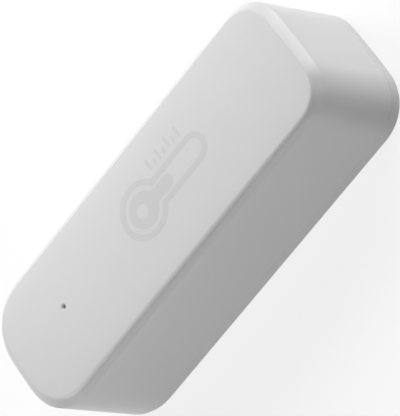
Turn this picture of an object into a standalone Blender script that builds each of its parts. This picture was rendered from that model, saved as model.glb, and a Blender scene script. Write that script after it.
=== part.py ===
"""Wireless temperature and humidity sensor in a moulded plastic housing.

The sensor lies on its back. Z points out of the face, Y along the housing towards its upper
end, X across it. The origin is on the back, in the middle of the outline. Lengths are metres.
The housing is sized from what it holds: the cell and its holder set its depth, the holder
and the screw bosses its width, and the parts along the board its length.
"""
import math

import bmesh
import bpy
from mathutils import Vector

# Clearances
FIT = 0.0003                    # between pieces that touch or seat on each other
SEAM = 0.0003                   # parting line between the shell and the cover
BOARD_GAP = 0.0006              # board edge to the housing wall
CELL_REAR_GAP = 0.0005          # cell to the inside of the cover
PART_SPACING = 0.0006           # between neighbours on the board

# Battery cell, a standard AA size
CELL_DIAMETER = 0.0145
CELL_LENGTH = 0.0505
CELL_NUB_DIAMETER = 0.0055
CELL_NUB_HEIGHT = 0.0012
CELL_EDGE = 0.0006              # rounding of the can's ends
CELL_STEP = 0.0003              # height of the rim round each end
CELL_BASE_SHARE = 0.64          # radius of the flat negative end over the can's

# Cell holder and its contacts
HOLDER_WALL = 0.0008
HOLDER_FLOOR = 0.0008
HOLDER_END_WALL = 0.0012
HOLDER_WRAP = 0.0020            # how far the arms reach past the cell's axis
HOLDER_CLIP_LENGTH = 0.0110
HOLDER_CLIPS = 3
SPRING_SPACE = 0.0032
CONTACT_THICKNESS = 0.0003
CONTACT_WIDTH = 0.0080
LEG_WIDTH = 0.0030
SPRING_WIRE = 0.0007
SPRING_TURNS = 2.5
SPRING_WIDE = 0.0100
SPRING_NARROW = 0.0056
SPRING_STEPS = 14               # points to a turn

# Circuit board
BOARD_THICKNESS = 0.0008
COMPONENT_ROOM = 0.0017         # board to the inside of the face
UPPER_MARGIN = 0.0016           # holder end to the board's upper end
TONGUE_LENGTH = 0.0040
TONGUE_WIDTH = 0.0070
ANTENNA_DIAMETER = 0.0046
ANTENNA_WIRE = 0.0006
ANTENNA_TURNS = 6
ANTENNA_STEPS = 12              # points to a turn
CAPACITOR_BASE = 0.0053
CAPACITOR_DIAMETER = 0.0050
CAPACITOR_HEIGHT = 0.0054
CAPACITOR_FOOT = 0.0008
CAPACITOR_FOOT_CORNER = 0.0004
CAPACITOR_CRIMP = 0.0003        # height and depth of the groove round the can
MODULE_SIZE = 0.0100
MODULE_THICKNESS = 0.0008
EDGE_CONTACTS = 6
EDGE_CONTACT_PITCH = 0.0015
EDGE_CONTACT_RADIUS = 0.0004
SHIELD_INSET = 0.0009
SHIELD_HEIGHT = 0.0018
SHIELD_SHEET = 0.0002
SHIELD_ROUNDING = 0.0004
CHIP_HEIGHT = 0.0008
CHIP_EDGE = 0.0001
SOFT_EDGE = 0.0003              # edge of moulded and pressed components
CRYSTAL_WIDTH = 0.0015
CRYSTAL_LENGTH = 0.0032
SMALL_CHIP_WIDTH = 0.0016
SMALL_CHIP_LENGTH = 0.0008
SMALL_CHIP_PITCH = 0.0020
COLUMN_X = 0.0048               # component columns on the board's front
SENSOR_SIZE = 0.0025
SENSOR_HEIGHT = 0.0009
SENSOR_PORT = 0.0010

# Housing
WALL = 0.0018
FACE_WALL = 0.0020
COVER_THICKNESS = 0.0024
SIDE_DRAFT = 0.0009             # how far each side leans in from back to face
END_DRAFT = 0.00025
BACK_CROWN = 0.0008             # bow of each end at its middle
FACE_CROWN = 0.0002
UPPER_CORNER = 0.0082
LOWER_CORNER = 0.0113
BACK_FULLNESS = 2.12            # exponent of the corner curve: 2 is a circle
FACE_FULLNESS = 2.44
CHAMFER_INSET = 0.0011          # along the sides
END_CHAMFER_INSET = 0.00175
CHAMFER_DROP = 0.00165
CHAMFER_FILLET = 0.0008
BACK_EDGE = 0.0003
CORE_EDGE = 0.0008
LIP_HEIGHT = 0.0020
LIP_THICKNESS = 0.0012

# Fasteners and what they go into
SCREW_SHANK = 0.0020
SCREW_HEAD = 0.0036
SCREW_HEAD_HEIGHT = 0.0010
SCREW_REACH = 0.0070            # shank above the cover
SCREW_SUNK = 0.0002
BOSS_WALL = 0.0008
BOSS_BITE = 0.00005             # how far the bosses run into the side walls at the back
UPPER_BOSS_INSET = 0.0095       # from the housing's upper end
BOARD_SCREW_SHANK = 0.0016
BOARD_SCREW_HEAD = 0.0032
BOARD_SCREW_REACH = 0.0026      # shank above the board
STANDOFF_WALL = 0.0011

# Screw shape, as shares of the head and the shank
HEAD_FLAT = 0.70                # flat of the head over its diameter
HEAD_EDGE = 0.40                # height of the head's straight edge over its height
TIP_LENGTH = 0.40               # length of the tip over the shank's diameter
TIP_FLAT = 0.40                 # flat of the tip over the shank's diameter
RECESS_LENGTH = 0.55            # cross recess over the head's diameter
RECESS_WIDTH = 0.13
RECESS_DEPTH = 0.55             # over the head's height

# Inner features of the shell and the cover
RAIL_THICKNESS = 0.0010
RAIL_INSET = 0.0024             # from the board's edge
RAIL_END_SPACE = 0.0065         # rail's end to the end of the holder
HOOK_LENGTH = 0.0050
HOOK_HEIGHT = 0.0010
HOOK_BITE = 0.0007
RIB_THICKNESS = 0.0012
RIB_HEIGHT = 0.0030
RIB_COUNT = 3

# Vents, filter, indicator
VENT_COUNT = 5
VENT_WIDTH = 0.0012
VENT_PITCH = 0.0024
VENT_HEIGHT = 0.0080
VENT_CORNER = 0.0004
FILTER_THICKNESS = 0.0003
FILTER_MARGIN = 0.0008
PINHOLE_DIAMETER = 0.0008
PINHOLE_LAND = 0.0010           # depth of the narrow part of the hole
PINHOLE_X = -0.00135
PINHOLE_DROP = 0.0014           # below the middle of the radio's row
PIPE_DIAMETER = 0.0018
PIPE_EDGE = 0.0002
LED_WIDTH = 0.0016
LED_LENGTH = 0.0008
LED_HEIGHT = 0.0005

# Facets
CORNER_STEPS = 8
END_STEPS = 3
FILLET_STEPS = 3
ROUND_STEPS = 24
SMALL_ROUND_STEPS = 16
LARGE_ROUND_STEPS = 48
SHARP_ANGLE = math.radians(40)  # edges turned less than this are shaded smooth
OVERSHOOT = 0.0010              # how far cutters run past what they cut
BURIED = 0.0005                 # how deep joined pieces run into each other

# Worked out across the board, from the holder out past the bosses beside it
CELL_RADIUS = CELL_DIAMETER / 2
HOLDER_WIDTH = CELL_DIAMETER + 2 * (FIT + HOLDER_WALL)
SCREW_HOLE = SCREW_SHANK / 2 + FIT
BOSS_RADIUS = SCREW_HOLE + BOSS_WALL
BOSS_X = HOLDER_WIDTH / 2 + FIT + BOSS_RADIUS
HOUSING_WIDTH = 2 * (BOSS_X + BOSS_RADIUS - BOSS_BITE + WALL)
BOARD_WIDTH = HOUSING_WIDTH - 2 * (WALL + SIDE_DRAFT + BOARD_GAP)

# Worked out along the board
ANTENNA_LENGTH = MODULE_SIZE    # the antenna lies beside the radio module
CONTACT_SPACE = CONTACT_THICKNESS + 2 * FIT
HOLDER_LENGTH = CELL_LENGTH + SPRING_SPACE + CONTACT_SPACE + 2 * HOLDER_END_WALL
BOARD_LENGTH = (UPPER_MARGIN + HOLDER_LENGTH + ANTENNA_LENGTH + CAPACITOR_BASE
                + 3 * PART_SPACING + TONGUE_LENGTH)
HOUSING_LENGTH = BOARD_LENGTH + 2 * (BOARD_GAP + WALL + END_DRAFT)

# Worked out from the back to the face
CELL_AXIS = COVER_THICKNESS + CELL_REAR_GAP + CELL_RADIUS
HOLDER_TOP = CELL_AXIS + CELL_RADIUS + FIT + HOLDER_FLOOR
BOARD_BACK = HOLDER_TOP + FIT
BOARD_FRONT = BOARD_BACK + BOARD_THICKNESS
FACE_INSIDE = BOARD_FRONT + COMPONENT_ROOM
HOUSING_DEPTH = FACE_INSIDE + FACE_WALL
SHELL_RIM = COVER_THICKNESS + SEAM
UNDER_BOARD = BOARD_BACK - FIT
OVER_BOARD = BOARD_FRONT + FIT

# Places along the board, from its upper end down
BOARD_TOP_END = BOARD_LENGTH / 2
HOLDER_UPPER_END = BOARD_TOP_END - UPPER_MARGIN
HOLDER_LOWER_END = HOLDER_UPPER_END - HOLDER_LENGTH
CELL_UPPER_END = HOLDER_UPPER_END - HOLDER_END_WALL - CONTACT_SPACE
CELL_LOWER_END = CELL_UPPER_END - CELL_LENGTH
ANTENNA_UPPER_END = HOLDER_LOWER_END - PART_SPACING
ANTENNA_LOWER_END = ANTENNA_UPPER_END - ANTENNA_LENGTH
RADIO_ROW = (ANTENNA_UPPER_END + ANTENNA_LOWER_END) / 2
SCREW_ROW = ANTENNA_LOWER_END - PART_SPACING - CAPACITOR_BASE / 2
TONGUE_ROOT = SCREW_ROW - CAPACITOR_BASE / 2 - PART_SPACING
TONGUE_END = -HOUSING_LENGTH / 2 + END_DRAFT + WALL + BOARD_GAP - FACE_CROWN

# Screws, bosses, rails and ribs
UPPER_BOSS_Y = HOUSING_LENGTH / 2 - UPPER_BOSS_INSET
BOSS_PLACES = [(side * BOSS_X, y) for y in (UPPER_BOSS_Y, SCREW_ROW) for side in (-1, 1)]
HEAD_POCKET = SCREW_HEAD / 2 + FIT
HEAD_SEAT = SCREW_SUNK + SCREW_HEAD_HEIGHT
BOARD_SCREW_HOLE = BOARD_SCREW_SHANK / 2 + FIT
STANDOFF_RADIUS = BOARD_SCREW_HOLE + STANDOFF_WALL
RAIL_LENGTH = HOLDER_LENGTH - 2 * RAIL_END_SPACE
HOOK_SPACING = RAIL_LENGTH / 2
RIB_SPACING = CELL_LENGTH / RIB_COUNT

# Places on the board
BESIDE_BOSS = BOSS_X - BOSS_RADIUS - FIT - PART_SPACING
CAPACITOR_X = BESIDE_BOSS - CAPACITOR_BASE / 2
CRYSTAL_X = PART_SPACING + CRYSTAL_WIDTH / 2 - BESIDE_BOSS
BOARD_SCREW_X = (CAPACITOR_X - CAPACITOR_BASE / 2 + CRYSTAL_X + CRYSTAL_WIDTH / 2) / 2
MODULE_X = MODULE_SIZE / 2 + 2 * PART_SPACING - BOARD_WIDTH / 2
ANTENNA_X = -MODULE_X
PINHOLE_Y = RADIO_ROW - PINHOLE_DROP
SENSOR_Y = TONGUE_END + SENSOR_SIZE / 2 + PART_SPACING
VENT_TOP = UNDER_BOARD - SENSOR_HEIGHT
FRONT_CHIPS = [
    # name, x, distance above the radio row, width, length
    ("microcontroller", 0.0, 0.0120, 0.0050, 0.0050),
    ("memory_chip", COLUMN_X, 0.0030, 0.0040, 0.0050),
    ("voltage_regulator", -COLUMN_X, 0.0030, 0.0016, 0.0030),
    ("power_choke", -COLUMN_X, 0.0080, 0.0030, 0.0030),
]
CAPACITOR_ROW = RADIO_ROW + 0.0088
RESISTOR_ROW = RADIO_ROW + 0.0118


def clear_scene():
    """Remove whatever the scene holds, and make one collection for pieces, one for cutters."""
    for thing in list(bpy.data.objects):
        bpy.data.objects.remove(thing, do_unlink=True)
    made = []
    for name in ("humidity_sensor_unit", "cutters"):
        collection = bpy.data.collections.new(name)
        bpy.context.scene.collection.children.link(collection)
        made.append(collection)
    return made


PIECES, CUTTERS = clear_scene()
ORIGIN = bpy.data.objects.new("sensor_origin", None)
PIECES.objects.link(ORIGIN)


def material(name, colour, roughness, metallic=0.0, alpha=1.0):
    """A Principled material in one colour."""
    made = bpy.data.materials.new(name)
    made.use_nodes = True
    shader = made.node_tree.nodes["Principled BSDF"]
    shader.inputs["Base Color"].default_value = (*colour, 1.0)
    shader.inputs["Roughness"].default_value = roughness
    shader.inputs["Metallic"].default_value = metallic
    shader.inputs["Alpha"].default_value = alpha
    return made


SHELL_PLASTIC = material("shell_plastic", (0.70, 0.70, 0.70), 0.45)
COVER_PLASTIC = material("cover_plastic", (0.68, 0.68, 0.68), 0.50)
HOLDER_PLASTIC = material("holder_plastic", (0.03, 0.03, 0.03), 0.50)
BOARD_GREEN = material("board_green", (0.02, 0.12, 0.05), 0.40)
CHIP_BLACK = material("chip_black", (0.02, 0.02, 0.02), 0.45)
CERAMIC_TAN = material("ceramic_tan", (0.45, 0.33, 0.22), 0.50)
SCREW_STEEL = material("screw_steel", (0.55, 0.55, 0.56), 0.30, 1.0)
SPRING_STEEL = material("spring_steel", (0.60, 0.60, 0.60), 0.25, 1.0)
SHIELD_TIN = material("shield_tin", (0.65, 0.65, 0.62), 0.35, 1.0)
CAN_ALUMINIUM = material("can_aluminium", (0.70, 0.70, 0.72), 0.35, 1.0)
ANTENNA_BRASS = material("antenna_brass", (0.75, 0.55, 0.25), 0.30, 1.0)
CELL_SLEEVE = material("cell_sleeve", (0.05, 0.16, 0.35), 0.35)
FILTER_WHITE = material("filter_white", (0.80, 0.80, 0.80), 0.80)
CLEAR_PLASTIC = material("clear_plastic", (0.85, 0.88, 0.90), 0.10, 0.0, 0.5)
LED_WHITE = material("led_white", (0.75, 0.75, 0.60), 0.25)


def add_object(name, mesh, look=None):
    """Put a mesh in the scene, as a piece if it has a material and as a cutter if not."""
    thing = bpy.data.objects.new(name, mesh)
    if look is None:
        CUTTERS.objects.link(thing)
        thing.hide_render = True
        thing.display_type = "WIRE"
    else:
        PIECES.objects.link(thing)
        thing.parent = ORIGIN
        mesh.materials.append(look)
    return thing


def shade(mesh):
    """Smooth shading across shallow edges, sharp over the others."""
    mesh.shade_smooth()
    mesh.set_sharp_from_angle(angle=SHARP_ANGLE)


def finish_mesh(name, shape, look=None):
    """Turn a bmesh into an object whose faces point out."""
    bmesh.ops.recalc_face_normals(shape, faces=shape.faces)
    mesh = bpy.data.meshes.new(name)
    shape.to_mesh(mesh)
    shape.free()
    shade(mesh)
    return add_object(name, mesh, look)


def centred_box(name, centre, size, look=None):
    """A block around its centre."""
    shape = bmesh.new()
    bmesh.ops.create_cube(shape, size=1.0)
    bmesh.ops.scale(shape, vec=size, verts=shape.verts)
    block = finish_mesh(name, shape, look)
    block.location = centre
    return block


def box(name, low, high, look=None):
    """A block between two opposite corners."""
    middle = [(a + b) / 2 for a, b in zip(low, high)]
    size = [b - a for a, b in zip(low, high)]
    return centred_box(name, middle, size, look)


def rod(name, radius, start, end, look=None, steps=ROUND_STEPS):
    """A round rod from one point to another."""
    axis = Vector(end) - Vector(start)
    shape = bmesh.new()
    bmesh.ops.create_cone(shape, cap_ends=True, segments=steps, radius1=radius,
                          radius2=radius, depth=axis.length)
    bar = finish_mesh(name, shape, look)
    bar.location = (Vector(start) + Vector(end)) / 2
    bar.rotation_euler = axis.to_track_quat("Z", "Y").to_euler()
    return bar


def upright_rod(name, radius, x, y, low, high, look=None, steps=ROUND_STEPS):
    """A round rod along Z."""
    return rod(name, radius, (x, y, low), (x, y, high), look, steps)


def loft(name, rings, look=None):
    """A closed solid through rings of equally many points."""
    shape = bmesh.new()
    rows = [[shape.verts.new(point) for point in ring] for ring in rings]
    count = len(rows[0])
    for lower, upper in zip(rows, rows[1:]):
        for i in range(count):
            j = (i + 1) % count
            shape.faces.new((lower[i], lower[j], upper[j], upper[i]))
    shape.faces.new(rows[0])
    shape.faces.new(rows[-1])
    return finish_mesh(name, shape, look)


def turned(name, profile, place, look=None, steps=ROUND_STEPS, along_y=False):
    """A turned solid: a profile of (radius, height) from the axis's low end to its high end."""
    mesh = bpy.data.meshes.new(name)
    points = [(radius, 0.0, height) for radius, height in reversed(profile)]
    edges = [(i, i + 1) for i in range(len(points) - 1)]
    mesh.from_pydata(points, edges, [])
    thing = add_object(name, mesh, look)
    screw = thing.modifiers.new("turn", "SCREW")
    screw.steps = steps
    screw.render_steps = steps
    screw.use_smooth_shade = True
    screw.use_merge_vertices = True
    screw.merge_threshold = 0.00001
    thing.location = place
    if along_y:
        thing.rotation_euler = (-math.pi / 2, 0.0, 0.0)
    return thing


def wire(name, points, diameter, look):
    """A round wire along a list of points, with closed ends, as a mesh."""
    curve = bpy.data.curves.new(name, "CURVE")
    curve.dimensions = "3D"
    curve.bevel_depth = diameter / 2
    curve.bevel_resolution = 2
    curve.use_fill_caps = True
    spline = curve.splines.new("POLY")
    spline.points.add(len(points) - 1)
    for knot, point in zip(spline.points, points):
        knot.co = (*point, 1.0)
    guide = bpy.data.objects.new(name + "_guide", curve)
    PIECES.objects.link(guide)
    bpy.context.view_layer.update()
    evaluated = guide.evaluated_get(bpy.context.evaluated_depsgraph_get())
    mesh = bpy.data.meshes.new_from_object(evaluated)
    bpy.data.objects.remove(guide, do_unlink=True)
    shape = bmesh.new()
    shape.from_mesh(mesh)
    bmesh.ops.remove_doubles(shape, verts=shape.verts, dist=0.00001)
    mesh.materials.clear()
    shape.to_mesh(mesh)
    shape.free()
    shade(mesh)
    return add_object(name, mesh, look)


def cut(piece, *cutters):
    """Take the cutters out of a piece."""
    for cutter in cutters:
        step = piece.modifiers.new(cutter.name, "BOOLEAN")
        step.operation = "DIFFERENCE"
        step.object = cutter


def join(piece, *additions):
    """Grow a piece by shapes that run into it."""
    for addition in additions:
        step = piece.modifiers.new(addition.name, "BOOLEAN")
        step.operation = "UNION"
        step.object = addition


def keep(piece, window):
    """Keep only what lies inside a window."""
    step = piece.modifiers.new(window.name, "BOOLEAN")
    step.operation = "INTERSECT"
    step.object = window


def soften(piece, width, segments=2):
    """Round a piece's sharp edges."""
    step = piece.modifiers.new("soften", "BEVEL")
    step.width = width
    step.segments = segments
    step.limit_method = "ANGLE"


def quarter_outline(half_width, half_length, radius, lean):
    """One quarter of a plan outline, from the long side round the corner to mid-end.

    The end's bow and the corner's fullness change with the lean, 0 at the back to 1 at the face.
    """
    crown = BACK_CROWN + (FACE_CROWN - BACK_CROWN) * lean
    fullness = BACK_FULLNESS + (FACE_FULLNESS - BACK_FULLNESS) * lean
    points = []
    for i in range(CORNER_STEPS + 1):
        angle = math.pi / 2 * i / CORNER_STEPS
        across = max(math.cos(angle), 0.0) ** (2 / fullness)
        along = max(math.sin(angle), 0.0) ** (2 / fullness)
        points.append((half_width - radius + radius * across,
                       half_length - radius + radius * along))
    for i in range(1, END_STEPS + 1):
        points.append(((half_width - radius) * (1 - i / END_STEPS), half_length))
    bowed = []
    for x, y in points:
        bow = crown * (y / half_length) * (1 - (x / half_width) ** 2)
        bowed.append((x, y + bow))
    return bowed


def housing_ring(inset, height, level=None, end_inset=None):
    """The housing's outline at a height, drawn in by an inset, as a ring of points.

    The ring is put at another level, or drawn in differently at its ends, where one is given.
    """
    lean = height / HOUSING_DEPTH
    half_width = HOUSING_WIDTH / 2 - SIDE_DRAFT * lean - inset
    half_length = HOUSING_LENGTH / 2 - END_DRAFT * lean - (inset if end_inset is None else end_inset)
    upper = quarter_outline(half_width, half_length, UPPER_CORNER - inset, lean)
    lower = quarter_outline(half_width, half_length, LOWER_CORNER - inset, lean)
    outline = list(upper)
    outline += [(-x, y) for x, y in reversed(upper[:-1])]
    outline += [(-x, -y) for x, y in lower]
    outline += [(x, -y) for x, y in reversed(lower[:-1])]
    z = height if level is None else level
    return [(x, y, z) for x, y in outline]


def filleted_corner(before, corner, after, radius):
    """Points of an arc laid into the corner of a profile, tangent to both of its sides."""
    before, corner, after = Vector(before), Vector(corner), Vector(after)
    back = (before - corner).normalized()
    ahead = (after - corner).normalized()
    half_angle = back.angle(ahead) / 2
    centre = corner + (back + ahead).normalized() * (radius / math.sin(half_angle))
    start = corner + back * (radius / math.tan(half_angle)) - centre
    end = corner + ahead * (radius / math.tan(half_angle)) - centre
    sweep = start.angle(end)
    points = []
    for i in range(FILLET_STEPS + 1):
        ahead_share = math.sin(sweep * i / FILLET_STEPS) / math.sin(sweep)
        back_share = math.sin(sweep * (1 - i / FILLET_STEPS)) / math.sin(sweep)
        points.append(centre + start * back_share + end * ahead_share)
    return points


def face_edge_profile():
    """Inset and height round the chamfer between the housing's side and its face."""
    side = (0.0, 0.0)
    chamfer_start = (0.0, HOUSING_DEPTH - CHAMFER_DROP)
    chamfer_end = (CHAMFER_INSET, HOUSING_DEPTH)
    face = (HOUSING_WIDTH / 2, HOUSING_DEPTH)
    return (filleted_corner(side, chamfer_start, chamfer_end, CHAMFER_FILLET)
            + filleted_corner(chamfer_start, chamfer_end, face, CHAMFER_FILLET))


def make_front_shell():
    """Housing moulding: chamfered face, side walls, screw bosses, board rails and vents."""
    rings = [housing_ring(0.0, SHELL_RIM)]
    for inset, height in face_edge_profile():
        rings.append(housing_ring(inset, height,
                                  end_inset=inset * END_CHAMFER_INSET / CHAMFER_INSET))
    shell = loft("front_shell", rings, SHELL_PLASTIC)

    core = loft("shell_core", [
        housing_ring(WALL, 0.0),
        housing_ring(WALL, FACE_INSIDE - CORE_EDGE),
        housing_ring(WALL + CORE_EDGE, FACE_INSIDE),
    ])
    cut(shell, core)

    root = FACE_INSIDE + BURIED
    for number, (x, y) in enumerate(BOSS_PLACES, 1):
        boss = upright_rod(f"boss_{number}", BOSS_RADIUS, x, y, SHELL_RIM, root)
        join(shell, boss)

    rail_x = BOARD_WIDTH / 2 - RAIL_INSET
    rail_middle = (HOLDER_UPPER_END + HOLDER_LOWER_END) / 2
    for side in (-1, 1):
        rail = centred_box(
            f"rail_{side}",
            (side * rail_x, rail_middle, (OVER_BOARD + root) / 2),
            (RAIL_THICKNESS, RAIL_LENGTH, root - OVER_BOARD))
        join(shell, rail)
        for place in (-1, 1):
            inner = BOARD_WIDTH / 2 - HOOK_BITE
            outer = BOARD_WIDTH / 2 + BOARD_GAP + SIDE_DRAFT + BURIED
            y = rail_middle + place * HOOK_SPACING / 2
            hook = box(
                f"hook_{side}_{place}",
                (min(side * inner, side * outer), y - HOOK_LENGTH / 2, UNDER_BOARD - HOOK_HEIGHT),
                (max(side * inner, side * outer), y + HOOK_LENGTH / 2, UNDER_BOARD))
            join(shell, hook)

    standoff = upright_rod("standoff", STANDOFF_RADIUS, BOARD_SCREW_X, SCREW_ROW,
                           OVER_BOARD, root)
    join(shell, standoff)

    for number, (x, y) in enumerate(BOSS_PLACES, 1):
        hole = upright_rod(f"boss_hole_{number}", SCREW_HOLE, x, y,
                           SHELL_RIM - OVERSHOOT, SHELL_RIM + SCREW_REACH + FIT)
        cut(shell, hole)
    cut(shell, upright_rod("standoff_hole", BOARD_SCREW_HOLE, BOARD_SCREW_X, SCREW_ROW,
                           OVER_BOARD - OVERSHOOT, BOARD_FRONT + BOARD_SCREW_REACH + FIT))

    outside = -HOUSING_LENGTH / 2 - BACK_CROWN - OVERSHOOT
    inside = -HOUSING_LENGTH / 2 + WALL + END_DRAFT + OVERSHOOT
    for number in range(VENT_COUNT):
        x = (number - (VENT_COUNT - 1) / 2) * VENT_PITCH
        vent = box(f"vent_{number + 1}",
                   (x - VENT_WIDTH / 2, outside, VENT_TOP - VENT_HEIGHT),
                   (x + VENT_WIDTH / 2, inside, VENT_TOP))
        soften(vent, VENT_CORNER)
        cut(shell, vent)

    land = HOUSING_DEPTH - PINHOLE_LAND
    cut(shell,
        upright_rod("pipe_bore", PIPE_DIAMETER / 2 + FIT, PINHOLE_X, PINHOLE_Y,
                    FACE_INSIDE - OVERSHOOT, land),
        upright_rod("pinhole", PINHOLE_DIAMETER / 2, PINHOLE_X, PINHOLE_Y,
                    land - BURIED, HOUSING_DEPTH + OVERSHOOT, steps=SMALL_ROUND_STEPS))
    return shell


def make_back_cover():
    """Cover plate with a locating lip, screw pockets and ribs that carry the cell."""
    rings = []
    for i in range(FILLET_STEPS + 1):
        angle = math.pi / 2 * i / FILLET_STEPS
        rings.append(housing_ring(BACK_EDGE * (1 - math.sin(angle)),
                                  BACK_EDGE * (1 - math.cos(angle))))
    rings.append(housing_ring(0.0, COVER_THICKNESS))
    cover = loft("back_cover", rings, COVER_PLASTIC)

    lip_inset = WALL + FIT
    lip_top = COVER_THICKNESS + LIP_HEIGHT
    lip = loft("lip", [housing_ring(lip_inset, COVER_THICKNESS - BURIED),
                       housing_ring(lip_inset, lip_top)])
    lip_hollow = loft("lip_hollow", [
        housing_ring(lip_inset + LIP_THICKNESS, COVER_THICKNESS - OVERSHOOT),
        housing_ring(lip_inset + LIP_THICKNESS, lip_top + OVERSHOOT),
    ])
    cut(lip, lip_hollow)
    for number, (x, y) in enumerate(BOSS_PLACES, 1):
        notch = upright_rod(f"lip_notch_{number}", BOSS_RADIUS + FIT, x, y,
                            COVER_THICKNESS - OVERSHOOT, lip_top + OVERSHOOT)
        cut(lip, notch)
    join(cover, lip)

    cell_middle = (CELL_UPPER_END + CELL_LOWER_END) / 2
    clearance = rod("cell_clearance", CELL_RADIUS + FIT,
                    (0.0, CELL_LOWER_END - OVERSHOOT, CELL_AXIS),
                    (0.0, CELL_UPPER_END + OVERSHOOT, CELL_AXIS), steps=LARGE_ROUND_STEPS)
    for number in range(RIB_COUNT):
        y = cell_middle + (number - (RIB_COUNT - 1) / 2) * RIB_SPACING
        rib = centred_box(
            f"rib_{number + 1}",
            (0.0, y, COVER_THICKNESS + (RIB_HEIGHT - BURIED) / 2),
            (CELL_DIAMETER, RIB_THICKNESS, RIB_HEIGHT + BURIED))
        cut(rib, clearance)
        join(cover, rib)

    for number, (x, y) in enumerate(BOSS_PLACES, 1):
        cut(cover,
            upright_rod(f"head_pocket_{number}", HEAD_POCKET, x, y,
                        -OVERSHOOT, HEAD_SEAT + FIT),
            upright_rod(f"cover_hole_{number}", SCREW_HOLE, x, y,
                        HEAD_SEAT, COVER_THICKNESS + OVERSHOOT))
    return cover


def make_screw(name, x, y, head, shank, head_height, length, seat):
    """Pan-head screw, head down, with a cross recess. Its head ends at the seat height."""
    profile = [
        (0.0, -head_height),
        (head / 2 * HEAD_FLAT, -head_height),
        (head / 2, -head_height * HEAD_EDGE),
        (head / 2, 0.0),
        (shank / 2, 0.0),
        (shank / 2, length - shank * TIP_LENGTH),
        (shank / 2 * TIP_FLAT, length),
        (0.0, length),
    ]
    screw = turned(name, profile, (x, y, seat), SCREW_STEEL)
    slot = head * RECESS_LENGTH
    blade = head * RECESS_WIDTH
    for turn, (width, depth) in enumerate(((slot, blade), (blade, slot)), 1):
        cutter = centred_box(f"{name}_recess_{turn}", (x, y, seat - head_height),
                             (width, depth, 2 * head_height * RECESS_DEPTH))
        cut(screw, cutter)
    return screw


def make_board():
    """Circuit board in the housing's own outline, notched for the bosses, with a tongue."""
    edge = WALL + BOARD_GAP
    board = loft("main_board", [
        housing_ring(edge, HOUSING_DEPTH, BOARD_BACK),
        housing_ring(edge, HOUSING_DEPTH, BOARD_FRONT),
    ], BOARD_GREEN)
    below = BOARD_BACK - OVERSHOOT
    above = BOARD_FRONT + OVERSHOOT
    for side in (-1, 1):
        inner = side * TONGUE_WIDTH / 2
        outer = side * HOUSING_WIDTH / 2
        waste = box(f"tongue_waste_{side}",
                    (min(inner, outer), -HOUSING_LENGTH / 2 - OVERSHOOT, below),
                    (max(inner, outer), TONGUE_ROOT, above))
        cut(board, waste)
    for number, (x, y) in enumerate(BOSS_PLACES, 1):
        cut(board, upright_rod(f"board_notch_{number}", BOSS_RADIUS + FIT, x, y, below, above))
    cut(board, upright_rod("board_screw_hole", BOARD_SCREW_HOLE, BOARD_SCREW_X, SCREW_ROW,
                           below, above))
    return board


def make_holder():
    """Cell holder: a floor against the board, end walls, and clips that wrap the cell."""
    half = HOLDER_WIDTH / 2
    tips = CELL_AXIS - HOLDER_WRAP
    holder = box("battery_holder", (-half, HOLDER_LOWER_END, tips),
                 (half, HOLDER_UPPER_END, HOLDER_TOP), HOLDER_PLASTIC)
    cavity = rod("cell_cavity", CELL_RADIUS + FIT,
                 (0.0, HOLDER_LOWER_END + HOLDER_END_WALL, CELL_AXIS),
                 (0.0, HOLDER_UPPER_END - HOLDER_END_WALL, CELL_AXIS),
                 steps=LARGE_ROUND_STEPS)
    cut(holder, cavity)
    pitch = (CELL_LENGTH - HOLDER_CLIP_LENGTH) / (HOLDER_CLIPS - 1)
    for number in range(HOLDER_CLIPS - 1):
        start = CELL_LOWER_END + HOLDER_CLIP_LENGTH + number * pitch
        gap = box(f"clip_gap_{number + 1}",
                  (-half - OVERSHOOT, start, tips - OVERSHOOT),
                  (half + OVERSHOOT, start + pitch - HOLDER_CLIP_LENGTH, CELL_AXIS + CELL_RADIUS / 2))
        cut(holder, gap)
    leg_slot = centred_box("leg_slot", (0.0, contact_y(), HOLDER_TOP),
                           (LEG_WIDTH + 2 * FIT, CONTACT_SPACE, CELL_RADIUS))
    tail_slot = centred_box("tail_slot", (0.0, spring_base_y(), HOLDER_TOP),
                            (SPRING_WIRE + 2 * FIT, SPRING_WIRE + 2 * FIT, CELL_RADIUS))
    cut(holder, leg_slot, tail_slot)
    return holder


def contact_y():
    """Middle of the positive contact's plate."""
    return HOLDER_UPPER_END - HOLDER_END_WALL - FIT - CONTACT_THICKNESS / 2


def spring_base_y():
    """Middle of the spring's first turn."""
    return HOLDER_LOWER_END + HOLDER_END_WALL + FIT + SPRING_WIRE / 2


def make_cell():
    """Battery cell, a turned can with a raised positive nub and a recessed negative end."""
    can = CELL_LENGTH - CELL_NUB_HEIGHT
    base = CELL_RADIUS * CELL_BASE_SHARE
    nub = CELL_NUB_DIAMETER / 2
    profile = [
        (0.0, 0.0),
        (base, 0.0),
        (base + CELL_STEP, CELL_STEP),
        (CELL_RADIUS - CELL_EDGE, CELL_STEP),
        (CELL_RADIUS, CELL_STEP + CELL_EDGE),
        (CELL_RADIUS, can - CELL_EDGE),
        (CELL_RADIUS - CELL_EDGE, can),
        (nub + CELL_STEP, can),
        (nub, can + CELL_STEP),
        (nub, CELL_LENGTH - CELL_STEP),
        (nub - CELL_STEP, CELL_LENGTH),
        (0.0, CELL_LENGTH),
    ]
    return turned("battery_cell", profile, (0.0, CELL_LOWER_END, CELL_AXIS), CELL_SLEEVE,
                  steps=LARGE_ROUND_STEPS, along_y=True)


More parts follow.
